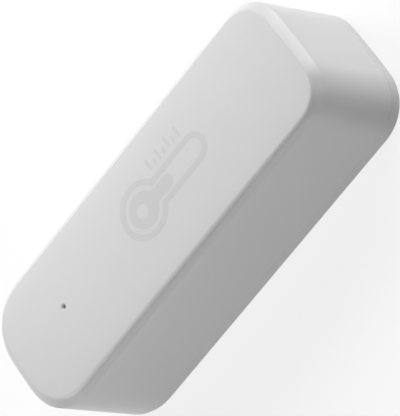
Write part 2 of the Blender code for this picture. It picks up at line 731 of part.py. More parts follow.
def make_contact():
    """Positive contact: a flat plate with a leg that goes up to the board."""
    y = contact_y()
    plate = centred_box("positive_contact", (0.0, y, CELL_AXIS),
                        (CONTACT_WIDTH, CONTACT_THICKNESS, CONTACT_WIDTH), SPRING_STEEL)
    leg = box("contact_leg", (-LEG_WIDTH / 2, y - CONTACT_THICKNESS / 2, CELL_AXIS),
              (LEG_WIDTH / 2, y + CONTACT_THICKNESS / 2, UNDER_BOARD))
    join(plate, leg)
    return plate


def make_spring():
    """Negative contact: a conical coil with a tail that goes up to the board."""
    start = spring_base_y()
    end = CELL_LOWER_END - FIT - SPRING_WIRE / 2
    wide = SPRING_WIDE / 2
    narrow = SPRING_NARROW / 2
    points = [(0.0, start, UNDER_BOARD), (0.0, start, (UNDER_BOARD + CELL_AXIS + wide) / 2)]
    count = round(SPRING_TURNS * SPRING_STEPS)
    for i in range(count + 1):
        share = i / count
        angle = math.pi / 2 + 2 * math.pi * SPRING_TURNS * share
        radius = wide + (narrow - wide) * share
        points.append((radius * math.cos(angle), start + (end - start) * share,
                       CELL_AXIS + radius * math.sin(angle)))
    return wire("battery_spring", points, SPRING_WIRE, SPRING_STEEL)


def make_antenna():
    """Helical antenna lying under the board."""
    radius = (ANTENNA_DIAMETER - ANTENNA_WIRE) / 2
    axis = UNDER_BOARD - ANTENNA_DIAMETER / 2
    low = ANTENNA_LOWER_END + ANTENNA_WIRE / 2
    high = ANTENNA_UPPER_END - ANTENNA_WIRE / 2
    count = ANTENNA_TURNS * ANTENNA_STEPS
    points = []
    for i in range(count + 1):
        share = i / count
        angle = math.pi / 2 + 2 * math.pi * ANTENNA_TURNS * share
        points.append((ANTENNA_X + radius * math.cos(angle), low + (high - low) * share,
                       axis + radius * math.sin(angle)))
    return wire("antenna", points, ANTENNA_WIRE, ANTENNA_BRASS)


def make_radio():
    """Radio module with half-round edge contacts, and the folded can that shields it."""
    half = MODULE_SIZE / 2
    high = UNDER_BOARD
    low = high - MODULE_THICKNESS
    module = box("radio_module", (MODULE_X - half, RADIO_ROW - half, low),
                 (MODULE_X + half, RADIO_ROW + half, high), BOARD_GREEN)
    for side in (-1, 1):
        for number in range(EDGE_CONTACTS):
            y = RADIO_ROW + (number - (EDGE_CONTACTS - 1) / 2) * EDGE_CONTACT_PITCH
            pad = upright_rod(f"edge_contact_{side}_{number + 1}", EDGE_CONTACT_RADIUS,
                              MODULE_X + side * half, y, low - OVERSHOOT, high + OVERSHOOT,
                              steps=SMALL_ROUND_STEPS)
            cut(module, pad)

    shape = bmesh.new()
    bmesh.ops.create_cube(shape, size=1.0)
    open_face = max(shape.faces, key=lambda face: face.calc_center_median().z)
    bmesh.ops.delete(shape, geom=[open_face], context="FACES_ONLY")
    size = (MODULE_SIZE - 2 * SHIELD_INSET, MODULE_SIZE - 2 * SHIELD_INSET, SHIELD_HEIGHT)
    bmesh.ops.scale(shape, vec=size, verts=shape.verts)
    mesh = bpy.data.meshes.new("radio_shield")
    shape.to_mesh(mesh)
    shape.free()
    shield = add_object("radio_shield", mesh, SHIELD_TIN)
    shield.location = (MODULE_X, RADIO_ROW, low - FIT - SHIELD_HEIGHT / 2)
    soften(shield, SHIELD_ROUNDING)
    sheet = shield.modifiers.new("sheet", "SOLIDIFY")
    sheet.thickness = SHIELD_SHEET
    sheet.offset = -1.0
    sheet.use_even_offset = True
    return module, shield


def make_chip(name, x, y, width, length, height=CHIP_HEIGHT, over=True, look=CHIP_BLACK,
              rounding=CHIP_EDGE):
    """A block-shaped component on one side of the board."""
    low = OVER_BOARD if over else UNDER_BOARD - height
    chip = box(name, (x - width / 2, y - length / 2, low),
               (x + width / 2, y + length / 2, low + height), look)
    soften(chip, rounding, 1)
    return chip


def make_capacitor():
    """Can capacitor under the board: a square plastic foot and a crimped aluminium can."""
    radius = CAPACITOR_DIAMETER / 2
    groove = CAPACITOR_HEIGHT - 2 * CAPACITOR_FOOT
    profile = [
        (0.0, 0.0),
        (radius - SOFT_EDGE, 0.0),
        (radius, SOFT_EDGE),
        (radius, groove - CAPACITOR_CRIMP),
        (radius - CAPACITOR_CRIMP, groove),
        (radius, groove + CAPACITOR_CRIMP),
        (radius, CAPACITOR_HEIGHT - CAPACITOR_FOOT / 2),
        (0.0, CAPACITOR_HEIGHT - CAPACITOR_FOOT / 2),
    ]
    can = turned("storage_capacitor", profile,
                 (CAPACITOR_X, SCREW_ROW, UNDER_BOARD - CAPACITOR_HEIGHT), CAN_ALUMINIUM)
    plate = centred_box("capacitor_foot",
                        (CAPACITOR_X, SCREW_ROW, UNDER_BOARD - CAPACITOR_FOOT / 2),
                        (CAPACITOR_BASE, CAPACITOR_BASE, CAPACITOR_FOOT))
    soften(plate, CAPACITOR_FOOT_CORNER, 1)
    join(can, plate)
    return can


def make_sensor():
    """Humidity sensor chip under the tongue, with its port towards the vents."""
    sensor = make_chip("humidity_sensor", 0.0, SENSOR_Y, SENSOR_SIZE, SENSOR_SIZE,
                       SENSOR_HEIGHT, over=False)
    low = UNDER_BOARD - SENSOR_HEIGHT
    cut(sensor, upright_rod("sensor_port", SENSOR_PORT / 2, 0.0, SENSOR_Y,
                            low - OVERSHOOT, low + SENSOR_HEIGHT / 3, steps=SMALL_ROUND_STEPS))
    return sensor


def make_filter():
    """Dust filter sheet that follows the inside of the wall behind the vents."""
    half = (VENT_COUNT - 1) / 2 * VENT_PITCH + VENT_WIDTH / 2 + FILTER_MARGIN
    low = VENT_TOP - VENT_HEIGHT - FILTER_MARGIN
    high = VENT_TOP + FILTER_MARGIN
    face = WALL + FIT
    sheet = loft("sensor_filter", [housing_ring(face, low), housing_ring(face, high)],
                 FILTER_WHITE)
    behind = loft("filter_behind", [
        housing_ring(face + FILTER_THICKNESS, low - OVERSHOOT),
        housing_ring(face + FILTER_THICKNESS, high + OVERSHOOT),
    ])
    cut(sheet, behind)
    window = box("filter_window", (-half, -HOUSING_LENGTH, low - OVERSHOOT),
                 (half, 0.0, high + OVERSHOOT))
    keep(sheet, window)
    return sheet


def make_indicator():
    """Indicator light on the board, and the clear pipe that takes its light to the pinhole."""
    led = make_chip("status_led", PINHOLE_X, PINHOLE_Y, LED_WIDTH, LED_LENGTH, LED_HEIGHT,
                    look=LED_WHITE)
    low = OVER_BOARD + LED_HEIGHT + FIT
    length = HOUSING_DEPTH - PINHOLE_LAND - FIT - low
    radius = PIPE_DIAMETER / 2
    profile = [
        (0.0, 0.0),
        (radius - PIPE_EDGE, 0.0),
        (radius, PIPE_EDGE),
        (radius, length - PIPE_EDGE),
        (radius - PIPE_EDGE, length),
        (0.0, length),
    ]
    pipe = turned("light_pipe", profile, (PINHOLE_X, PINHOLE_Y, low), CLEAR_PLASTIC)
    return led, pipe


def make_part():
    """Build every piece."""
    make_front_shell()
    make_back_cover()
    for number, (x, y) in enumerate(BOSS_PLACES, 1):
        make_screw(f"cover_screw_{number}", x, y, SCREW_HEAD, SCREW_SHANK, SCREW_HEAD_HEIGHT,
                   COVER_THICKNESS - HEAD_SEAT + SCREW_REACH, HEAD_SEAT)
    make_board()
    make_screw("board_screw", BOARD_SCREW_X, SCREW_ROW, BOARD_SCREW_HEAD, BOARD_SCREW_SHANK,
               SCREW_HEAD_HEIGHT, FIT + BOARD_THICKNESS + BOARD_SCREW_REACH, UNDER_BOARD)
    make_holder()
    make_cell()
    make_contact()
    make_spring()
    make_antenna()
    make_radio()
    make_capacitor()
    make_sensor()
    make_filter()
    make_indicator()
    make_chip("crystal", CRYSTAL_X, SCREW_ROW, CRYSTAL_WIDTH, CRYSTAL_LENGTH, over=False,
              look=CAN_ALUMINIUM, rounding=SOFT_EDGE)
    for name, x, rise, width, length in FRONT_CHIPS:
        make_chip(name, x, RADIO_ROW + rise, width, length)
    for number in range(3):
        make_chip(f"chip_capacitor_{number + 1}", COLUMN_X,
                  CAPACITOR_ROW + number * SMALL_CHIP_PITCH, SMALL_CHIP_WIDTH,
                  SMALL_CHIP_LENGTH, look=CERAMIC_TAN)
    for number in range(2):
        make_chip(f"chip_resistor_{number + 1}", -COLUMN_X,
                  RESISTOR_ROW + number * SMALL_CHIP_PITCH, SMALL_CHIP_WIDTH,
                  SMALL_CHIP_LENGTH, CHIP_HEIGHT / 2)


make_part()
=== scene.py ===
"""Looks of a slim temperature and humidity sensor in an off-white moulded housing.

The fine housing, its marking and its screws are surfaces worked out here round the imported
solids, and the other solids keep their shapes and get finishes. Lengths are metres, in the solids'
own frame: Z out of the face, Y along the housing, the back on the floor.
"""
import math

import bpy
import numpy as np
from mathutils import Matrix, Vector


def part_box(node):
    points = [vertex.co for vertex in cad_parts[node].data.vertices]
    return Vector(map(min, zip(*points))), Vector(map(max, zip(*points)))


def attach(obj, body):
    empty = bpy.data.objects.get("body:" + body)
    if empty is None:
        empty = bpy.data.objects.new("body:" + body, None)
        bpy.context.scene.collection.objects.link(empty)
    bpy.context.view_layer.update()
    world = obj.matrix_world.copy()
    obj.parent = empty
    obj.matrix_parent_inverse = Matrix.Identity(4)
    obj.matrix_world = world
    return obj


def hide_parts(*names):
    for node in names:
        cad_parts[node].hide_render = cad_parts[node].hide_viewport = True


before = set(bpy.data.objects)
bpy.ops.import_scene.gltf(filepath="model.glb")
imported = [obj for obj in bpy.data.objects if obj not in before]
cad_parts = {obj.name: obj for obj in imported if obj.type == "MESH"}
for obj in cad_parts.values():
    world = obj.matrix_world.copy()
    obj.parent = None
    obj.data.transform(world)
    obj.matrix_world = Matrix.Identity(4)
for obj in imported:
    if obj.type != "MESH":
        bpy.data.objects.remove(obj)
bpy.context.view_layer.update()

PI = math.pi

# Housing form, as the solids have it
HALF_WIDTH = 0.0146
HALF_LENGTH = 0.0425
DEPTH = 0.0233
SIDE_DRAFT = 0.0009
END_DRAFT = 0.00025
BACK_CROWN = 0.0008
FACE_CROWN = 0.0002
UPPER_CORNER = 0.0082
LOWER_CORNER = 0.0113
BACK_FULLNESS = 2.12
FACE_FULLNESS = 2.44
CHAMFER_INSET = 0.0009
END_CHAMFER_INSET = 0.00175
CHAMFER_DROP = 0.00165
CHAMFER_FILLET = 0.0008
SIDE_FACE_FILLET = 0.0011
END_FACE_FILLET = 0.0006
BACK_EDGE = 0.0003
WALL = 0.0018
FACE_INSIDE = 0.0213
CORE_EDGE = 0.0008
COVER_TOP = 0.0024
SHELL_RIM = 0.00243
RIM_EDGE = 0.00006
LIP_INSET = 0.0021
LIP_THICKNESS = 0.0012
LIP_TOP = 0.0044
LIP_EDGE = 0.0002
SUPPORT = 0.0003

# Grid steps: round the outline, on its edges, and round turned pieces
CORNER_STEPS = 28
END_STEPS = 14
SIDE_STEPS = 10
FILLET_STEPS = 10
EDGE_STEPS = 4
ROD_STEPS = 64
TURNED_STEPS = 48

# Edges sharper than this many degrees stay sharp
SMOOTH_BELOW = 35.0
SCREW_SMOOTH_BELOW = 30.0


def arc(start, stop, steps):
    """Angles from start to stop, both ends counted."""
    return np.linspace(start, stop, steps + 1)


def end_crown(lean):
    """How far each end bows out at its middle: less towards the face."""
    return BACK_CROWN + (FACE_CROWN - BACK_CROWN) * lean


def quarter_outline(half_width, half_length, radius, lean):
    """One quarter of the outline for arrays of sizes: side, corner, end.

    The corner is a superellipse, x = r cos(a)^(2/n) and y = r sin(a)^(2/n), whose n grows from
    back to face, and every point is then moved along y by
    crown * (y / half length) * (1 - (x / half width)^2).
    """
    a = arc(0.0, PI / 2, CORNER_STEPS)
    w, h, r, g = (size[:, None] for size in (half_width, half_length, radius, lean))
    power = 2 / (BACK_FULLNESS + (FACE_FULLNESS - BACK_FULLNESS) * g)
    across, along = np.cos(a).clip(0.0) ** power, np.sin(a).clip(0.0) ** power
    side = np.linspace(0.0, 1.0, SIDE_STEPS, endpoint=False)
    end = 1.0 - arc(0.0, 1.0, END_STEPS)[1:]
    x = np.hstack([w + 0.0 * side, w - r + r * across, (w - r) * end])
    y = np.hstack([(h - r) * side, h - r + r * along, h + 0.0 * end])
    return x, y + end_crown(g) * (y / h) * (1.0 - (x / w) ** 2)


def housing_grid(inset, height, end_inset=None):
    """Rings of the housing's outline, one for each pair of inset and height, anticlockwise.

    Half sizes shrink by draft * height / depth and by the inset, which may differ at the ends,
    and corner radii by the inset.
    """
    inset, height = np.asarray(inset, float), np.asarray(height, float)
    lean = height / DEPTH
    w = HALF_WIDTH - SIDE_DRAFT * lean - inset
    h = HALF_LENGTH - END_DRAFT * lean - (inset if end_inset is None else end_inset)
    ux, uy = quarter_outline(w, h, UPPER_CORNER - inset, lean)
    lx, ly = quarter_outline(w, h, LOWER_CORNER - inset, lean)
    x = np.hstack([ux, -ux[:, -2::-1], -lx[:, 1:], lx[:, -2:0:-1]])
    y = np.hstack([uy, uy[:, -2::-1], -ly[:, 1:], -ly[:, -2:0:-1]])
    return np.stack([x, y, np.broadcast_to(height[:, None], x.shape)], axis=-1)


def rounded_profile(corners, radii, steps):
    """A path through corners, each one rounded by an arc of its radius, tangent on both sides.

    An arc's points are centre + (start sin((1 - s) t) + end sin(s t)) / sin(t), where t is the
    angle it sweeps and s runs from 0 to 1.
    """
    path = [corners[:1]]
    for before, corner, after, radius in zip(corners[:-2], corners[1:-1], corners[2:], radii):
        back = (before - corner) / np.linalg.norm(before - corner)
        ahead = (after - corner) / np.linalg.norm(after - corner)
        half = math.acos(float(np.clip(back @ ahead, -1.0, 1.0))) / 2
        bisector = (back + ahead) / np.linalg.norm(back + ahead)
        centre = corner + bisector * radius / math.sin(half)
        start = corner + back * radius / math.tan(half) - centre
        end = corner + ahead * radius / math.tan(half) - centre
        sweep = PI - 2 * half
        s = arc(0.0, 1.0, steps)[:, None]
        points = start * np.sin((1 - s) * sweep) + end * np.sin(s * sweep)
        path.append(centre + points / math.sin(sweep))
    path.append(corners[-1:])
    return np.vstack(path)


def skin(name, grid, finish, smooth_below=SMOOTH_BELOW, ring=False):
    """A closed mesh over a grid of points: columns run round it and meet again.

    The first and last rows are closed by one flat face each, or meet each other where the
    rows form a ring. Quads join each point to its neighbours in its row and in the next one.
    """
    rows, columns = grid.shape[:2]
    index = np.arange(rows * columns).reshape(rows, columns)
    if ring:
        index = np.vstack([index, index[:1]])
    turned = np.roll(index, -1, axis=1)
    quads = np.stack([index[:-1], turned[:-1], turned[1:], index[1:]], axis=-1)
    faces = quads.reshape(-1, 4).tolist()
    if not ring:
        faces += [index[0, ::-1].tolist(), index[-1].tolist()]
    mesh = bpy.data.meshes.new(name)
    mesh.from_pydata(grid.reshape(-1, 3).tolist(), [], faces)
    mesh.update()
    mesh.shade_smooth()
    mesh.set_sharp_from_angle(angle=math.radians(smooth_below))
    piece = bpy.data.objects.new(name, mesh)
    bpy.context.scene.collection.objects.link(piece)
    if finish is not None:
        mesh.materials.append(finish)
    return piece


def turned_grid(profile, steps, place):
    """A profile of (radius, height) carried round an axis: x = r cos(a), y = r sin(a)."""
    a = np.linspace(0.0, 2 * PI, steps, endpoint=False)
    r, z = profile[:, :1], profile[:, 1:]
    return np.stack([r * np.cos(a), r * np.sin(a), z + 0.0 * a], axis=-1) + np.asarray(place)


def lathe(name, profile, steps, place):
    """A turned piece for joining or cutting, closed by a flat face at each end of its profile."""
    return skin(name, turned_grid(np.asarray(profile, float), steps, place), None)


def cut_away(piece, cutters, operation="DIFFERENCE"):
    """Applies one exact Boolean of all the cutters to a piece, and removes them."""
    group = bpy.data.collections.new(piece.name + "_cutters")
    bpy.context.scene.collection.children.link(group)
    for cutter in cutters:
        bpy.context.scene.collection.objects.unlink(cutter)
        group.objects.link(cutter)
    step = piece.modifiers.new("cut", "BOOLEAN")
    step.operation = operation
    step.operand_type = "COLLECTION"
    step.collection = group
    step.solver = "EXACT"
    evaluated = piece.evaluated_get(bpy.context.evaluated_depsgraph_get())
    mesh = bpy.data.meshes.new_from_object(evaluated)
    piece.modifiers.clear()
    piece.data = mesh
    for cutter in cutters:
        bpy.data.objects.remove(cutter, do_unlink=True)
    bpy.data.collections.remove(group)
    mesh.shade_smooth()
    mesh.set_sharp_from_angle(angle=math.radians(SMOOTH_BELOW))
    return piece


def rod(name, radius, x, y, low, high):
    """A plain upright rod, for joining or cutting."""
    return lathe(name, [(radius, low), (radius, high)], ROD_STEPS, (x, y, 0.0))


def block(name, low, high):
    """A plain block between two corners, for joining or cutting: four corner points carried up."""
    (x0, y0, z0), (x1, y1, z1) = low, high
    ring = np.array([[x0, y0], [x1, y0], [x1, y1], [x0, y1]])
    grid = np.stack([np.column_stack([ring, np.full(4, z)]) for z in (z0, z1)])
    return skin(name, grid, None)


# Places taken from the solids
SCREW_BOXES = [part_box(f"cover_screw_{n}") for n in range(1, 5)]
BOSS_PLACES = [((low.x + high.x) / 2, (low.y + high.y) / 2) for low, high in SCREW_BOXES]
BOARD_LOW, BOARD_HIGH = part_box("main_board")
PIPE_LOW, PIPE_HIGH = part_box("light_pipe")
PINHOLE_X = (PIPE_LOW.x + PIPE_HIGH.x) / 2
PINHOLE_Y = (PIPE_LOW.y + PIPE_HIGH.y) / 2
BOARD_SCREW_LOW, BOARD_SCREW_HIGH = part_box("board_screw")
CELL_LOW, CELL_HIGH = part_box("battery_cell")
HOLDER_LOW, HOLDER_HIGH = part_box("battery_holder")

# Details of the housing
BOSS_RADIUS = 0.0021
SCREW_HOLE = 0.0013
SCREW_HOLE_DEPTH = 0.0073
STANDOFF_RADIUS = 0.0022
STANDOFF_HOLE = 0.0011
STANDOFF_HOLE_TOP = 0.0225
RAIL_INSET = 0.0024
RAIL_HALF_THICKNESS = 0.0005
RAIL_HALF_LENGTH = 0.0220
HOOK_BITE = 0.0007
HOOK_OUTER = 0.0133
HOOK_HALF_LENGTH = 0.0025
HOOK_HEIGHT = 0.0010
HOOK_OFFSET = 0.0110
PINHOLE_RADIUS = 0.00034
PINHOLE_RIM = 0.00026
PINHOLE_LAND = 0.0010
PIPE_BORE = 0.0012
VENT_COUNT = 5
VENT_PITCH = 0.0024
VENT_HALF_WIDTH = 0.0006
VENT_CORNER = 0.0004
VENT_LOW = 0.0096
VENT_HIGH = 0.0176
VENT_FLARE = 0.00018
HEAD_POCKET = 0.0021
HEAD_POCKET_DEPTH = 0.0015
POCKET_FLARE = 0.00015
CELL_AXIS = 0.01015
CELL_RADIUS = 0.00725
RIB_HEIGHT = 0.0030
RIB_HALF_THICKNESS = 0.0006
RIB_COUNT = 3
RIB_POINTS = 41
ROOT_SINK = 0.0004
FIT = 0.0003
OVERSHOOT = 0.0010


def end_surface(x, z):
    """Distance along -Y of the lower end's outer face at x and z: its crown and its draft."""
    lean = z / DEPTH
    half_width = HALF_WIDTH - SIDE_DRAFT * lean
    return HALF_LENGTH - END_DRAFT * lean + end_crown(lean) * (1.0 - (x / half_width) ** 2)


def vent_cutter(number):
    """A slot with rounded corners through the lower end, with a chamfered mouth.

    The slot's outline is a rounded rectangle that grows by (flare - depth) near the surface,
    where depth is measured from the bowed end face at each point.
    """
    x_middle = (number - (VENT_COUNT - 1) / 2) * VENT_PITCH
    z_middle, half_height = (VENT_LOW + VENT_HIGH) / 2, (VENT_HIGH - VENT_LOW) / 2
    a = np.linspace(0.0, 2 * PI, TURNED_STEPS, endpoint=False)
    corner_x = np.sign(np.cos(a)) * (VENT_HALF_WIDTH - VENT_CORNER)
    corner_z = np.sign(np.sin(a)) * (half_height - VENT_CORNER)
    depth = np.array([-OVERSHOOT, VENT_FLARE, VENT_FLARE + WALL + OVERSHOOT])
    grow = (VENT_FLARE - depth).clip(0.0)
    x = x_middle + corner_x + (VENT_CORNER + grow[:, None]) * np.cos(a)
    z = z_middle + corner_z + (VENT_CORNER + grow[:, None]) * np.sin(a)
    y = depth[:, None] - end_surface(x, z)
    return skin(f"vent_{number + 1}", np.stack([x, y, z], axis=-1), None)


def face_edge(inset, face_fillet):
    """The outside's (inset, height) from the wall over the chamfer to the face, both filleted."""
    return rounded_profile(np.array([
        [0.0, DEPTH - CHAMFER_DROP - 3 * SUPPORT], [0.0, DEPTH - CHAMFER_DROP],
        [inset, DEPTH], [inset + 8 * SUPPORT, DEPTH]]),
        [CHAMFER_FILLET, face_fillet], 2 * FILLET_STEPS)


def make_shell(finish):
    """The housing moulding: one skin from the middle of the inside round the rim to the face.

    Its profile of (inset, height) goes down the cavity, across the rim, up the outside and over
    the chamfer, which is wider at the ends: there the inset is read off the ends' own profile at
    the same height. Bosses, rails, hooks and the standoff are joined to it, then holes cut.
    """
    cavity = rounded_profile(np.array([
        [WALL + 4 * CORE_EDGE, FACE_INSIDE], [WALL, FACE_INSIDE], [WALL, SHELL_RIM],
        [0.0, SHELL_RIM], [0.0, SHELL_RIM + 2 * SUPPORT]]),
        [CORE_EDGE, RIM_EDGE, RIM_EDGE], FILLET_STEPS)
    along_sides = face_edge(CHAMFER_INSET, SIDE_FACE_FILLET)
    at_ends = face_edge(END_CHAMFER_INSET, END_FACE_FILLET)
    rising = np.interp(along_sides[:-2, 1], at_ends[:-1, 1], at_ends[:-1, 0])
    inset, height = np.vstack([cavity, along_sides]).T
    end_inset = np.hstack([cavity[:, 0], rising, at_ends[-2:, 0]])
    shell = skin("housing_shell", housing_grid(inset, height, end_inset), finish)

    root = FACE_INSIDE + ROOT_SINK
    additions = [rod(f"boss_{n}", BOSS_RADIUS, x, y, SHELL_RIM, root)
                 for n, (x, y) in enumerate(BOSS_PLACES)]
    over_board, under_board = BOARD_HIGH.z + FIT, BOARD_LOW.z - FIT
    middle = (HOLDER_LOW.y + HOLDER_HIGH.y) / 2
    for side in (-1, 1):
        x = side * (BOARD_HIGH.x - RAIL_INSET)
        additions.append(block(f"rail_{side}",
                               (x - RAIL_HALF_THICKNESS, middle - RAIL_HALF_LENGTH, over_board),
                               (x + RAIL_HALF_THICKNESS, middle + RAIL_HALF_LENGTH, root)))
        for place in (-1, 1):
            y = middle + place * HOOK_OFFSET
            reach = sorted((side * (BOARD_HIGH.x - HOOK_BITE), side * HOOK_OUTER))
            additions.append(block(f"hook_{side}_{place}",
                                   (reach[0], y - HOOK_HALF_LENGTH, under_board - HOOK_HEIGHT),
                                   (reach[1], y + HOOK_HALF_LENGTH, under_board)))
    screw_x = (BOARD_SCREW_LOW.x + BOARD_SCREW_HIGH.x) / 2
    screw_y = (BOARD_SCREW_LOW.y + BOARD_SCREW_HIGH.y) / 2
    additions.append(rod("standoff", STANDOFF_RADIUS, screw_x, screw_y, over_board, root))
    cut_away(shell, additions, "UNION")

    cutters = [rod(f"boss_hole_{n}", SCREW_HOLE, x, y, SHELL_RIM - OVERSHOOT,
                   SHELL_RIM + SCREW_HOLE_DEPTH) for n, (x, y) in enumerate(BOSS_PLACES)]
    cutters.append(rod("standoff_hole", STANDOFF_HOLE, screw_x, screw_y,
                       over_board - OVERSHOOT, STANDOFF_HOLE_TOP))
    cutters += [vent_cutter(n) for n in range(VENT_COUNT)]
    land = DEPTH - PINHOLE_LAND
    pinhole = [(PIPE_BORE, FACE_INSIDE - OVERSHOOT), (PIPE_BORE, land), (PINHOLE_RADIUS, land),
               (PINHOLE_RADIUS, DEPTH - PINHOLE_RIM),
               (PINHOLE_RADIUS + PINHOLE_RIM + OVERSHOOT, DEPTH + OVERSHOOT)]
    cutters.append(lathe("pinhole", pinhole, TURNED_STEPS, (PINHOLE_X, PINHOLE_Y, 0.0)))
    return cut_away(shell, cutters)


def make_cover(finish):
    """The back cover: one skin from the middle of the back round its edge and over the lip."""
    lip_inside = LIP_INSET + LIP_THICKNESS
    profile = rounded_profile(np.array([
        [BACK_EDGE + 4 * SUPPORT, 0.0], [0.0, 0.0], [0.0, COVER_TOP], [LIP_INSET, COVER_TOP],
        [LIP_INSET, LIP_TOP], [lip_inside, LIP_TOP], [lip_inside, COVER_TOP],
        [lip_inside + 6 * SUPPORT, COVER_TOP]]),
        [BACK_EDGE, RIM_EDGE, RIM_EDGE, LIP_EDGE, LIP_EDGE, LIP_EDGE], EDGE_STEPS)
    cover = skin("housing_cover", housing_grid(profile[:, 0], profile[:, 1]), finish)
    notches = [rod(f"notch_{n}", BOSS_RADIUS + FIT, x, y, COVER_TOP, LIP_TOP + OVERSHOOT)
               for n, (x, y) in enumerate(BOSS_PLACES)]
    cut_away(cover, notches)

    middle = (CELL_LOW.y + CELL_HIGH.y) / 2
    spacing = (CELL_HIGH.y - CELL_LOW.y) / RIB_COUNT
    x = np.linspace(-CELL_RADIUS, CELL_RADIUS, RIB_POINTS)
    top = np.minimum(CELL_AXIS - np.sqrt((CELL_RADIUS + FIT) ** 2 - x ** 2), COVER_TOP + RIB_HEIGHT)
    ring = np.vstack([np.column_stack([x, np.full(RIB_POINTS, COVER_TOP - FIT)]),
                      np.column_stack([x, top])[::-1]])
    ribs = []
    for number in range(RIB_COUNT):
        y = middle + (number - (RIB_COUNT - 1) / 2) * spacing
        grid = np.stack([np.column_stack([ring[:, 0], np.full(len(ring), level), ring[:, 1]])
                         for level in (y + RIB_HALF_THICKNESS, y - RIB_HALF_THICKNESS)])
        ribs.append(skin(f"rib_{number}", grid, None))
    cut_away(cover, ribs, "UNION")

    pocket = [(HEAD_POCKET + POCKET_FLARE + OVERSHOOT, -OVERSHOOT), (HEAD_POCKET, POCKET_FLARE),
              (HEAD_POCKET, HEAD_POCKET_DEPTH), (SCREW_HOLE, HEAD_POCKET_DEPTH),
              (SCREW_HOLE, COVER_TOP + OVERSHOOT)]
    cutters = [lathe(f"pocket_{n}", pocket, TURNED_STEPS, (x, y, 0.0))
               for n, (x, y) in enumerate(BOSS_PLACES)]
    return cut_away(cover, cutters)


# Marking: a plain thermometer with a scale, printed on the face
MARK_X = -0.0009
MARK_BULB_Y = -0.00065
MARK_TOP_Y = 0.01456
MARK_BULB = 0.00564
MARK_TUBE = 0.00308
MARK_STROKE = 0.0012
MARK_FILL_BULB = 0.0035
MARK_FILL_TUBE = 0.00133
MARK_FILL_TOP_Y = 0.00652
MARK_EYE = 0.0014
MARK_EYE_Y = -0.00108
MARK_THICKNESS = 0.00002
TICK_RIGHT = -0.00495
LONG_TICK = 0.00256
SHORT_TICK = 0.0014
TICK_WIDTH = 0.00062
TICK_FIRST_Y = 0.00538
TICK_STEP = 0.0014
TICK_COUNT = 7
MARK_STEPS = 48
TICK_STEPS = 24


def thermometer_outline(bulb, tube, top):
    """A bulb with a round-topped tube: an arc of the bulb, the tube's sides and its cap.

    The tube's sides meet the bulb where sin(a) = tube / bulb, measured from the tube's axis.
    """
    meet = math.asin(tube / bulb)
    a = arc(PI / 2 + meet, 2 * PI + PI / 2 - meet, 2 * MARK_STEPS)
    foot = MARK_BULB_Y + bulb * math.cos(meet)
    cap = arc(0.0, PI, MARK_STEPS)
    rise = np.linspace(0.0, 1.0, MARK_STEPS // 2, endpoint=False)[1:]
    x = np.hstack([bulb * np.cos(a), tube + 0 * rise, tube * np.cos(cap), -tube + 0 * rise])
    y = np.hstack([MARK_BULB_Y + bulb * np.sin(a), foot + (top - foot) * rise,
                   top + tube * np.sin(cap), top + (foot - top) * rise])
    return np.column_stack([MARK_X + x, y])


def printed_band(name, outer, inner, finish):
    """A thin print between two outlines of equally many points, standing just proud of the face."""
    low, high = DEPTH - MARK_THICKNESS, DEPTH + MARK_THICKNESS
    rows = [(outer, low), (outer, high), (inner, high), (inner, low)]
    grid = np.stack([np.column_stack([ring, np.full(len(ring), z)]) for ring, z in rows])
    return skin(name, grid, finish, ring=True)


def make_marking(finish):
    """The thermometer's outline, its filled column and bulb, and the ticks beside it.

    The fill's inner edge is a circle round the eye, radius * (outline - eye) / |outline - eye|, and
    each tick's outline is a small circle whose halves are moved apart along x.
    """
    outer = thermometer_outline(MARK_BULB, MARK_TUBE, MARK_TOP_Y)
    inner = thermometer_outline(MARK_BULB - MARK_STROKE, MARK_TUBE - MARK_STROKE, MARK_TOP_Y)
    pieces = [printed_band("marking_outline", outer, inner, finish)]
    fill = thermometer_outline(MARK_FILL_BULB, MARK_FILL_TUBE, MARK_FILL_TOP_Y)
    outward = fill - [MARK_X, MARK_EYE_Y]
    outward /= np.linalg.norm(outward, axis=1, keepdims=True)
    pieces.append(printed_band("marking_fill", fill, [MARK_X, MARK_EYE_Y] + MARK_EYE * outward,
                               finish))
    a = np.linspace(0.0, 2 * PI, TICK_STEPS, endpoint=False)
    for number in range(TICK_COUNT):
        length = SHORT_TICK if number % 2 else LONG_TICK
        radius = TICK_WIDTH / 2
        y = TICK_FIRST_Y + number * TICK_STEP
        half_straight = length / 2 - radius
        x = TICK_RIGHT - length / 2 + np.sign(np.cos(a)) * half_straight + radius * np.cos(a)
        ring = np.column_stack([x, y + radius * np.sin(a)])
        grid = np.stack([np.column_stack([ring, np.full(TICK_STEPS, z)])
                         for z in (DEPTH - MARK_THICKNESS, DEPTH + MARK_THICKNESS)])
        pieces.append(skin(f"marking_tick_{number + 1}", grid, finish))
    return pieces


# Screws
CASE_HEAD_HEIGHT = 0.0010
CASE_SHANK = 0.0010
HEAD_FLAT = 0.55
HEAD_RIM = 0.35
HEAD_CHAMFER = 0.00008
AXIS_RADIUS = 0.0002
NECK = 0.0001
THREAD_PITCH = 0.0004
THREAD_DEPTH = 0.00012
THREAD_ROWS = 8
THREAD_END = 0.6
TIP_SHARES = ((0.75, 0.35), (0.4, 0.0))
CROSS_WIDTH = 0.00052
CROSS_REACH = 0.56
CROSS_DEPTH = 0.6
CROSS_TAPER = 0.72
SCREW_STEPS = 40
DOME_STEPS = 8


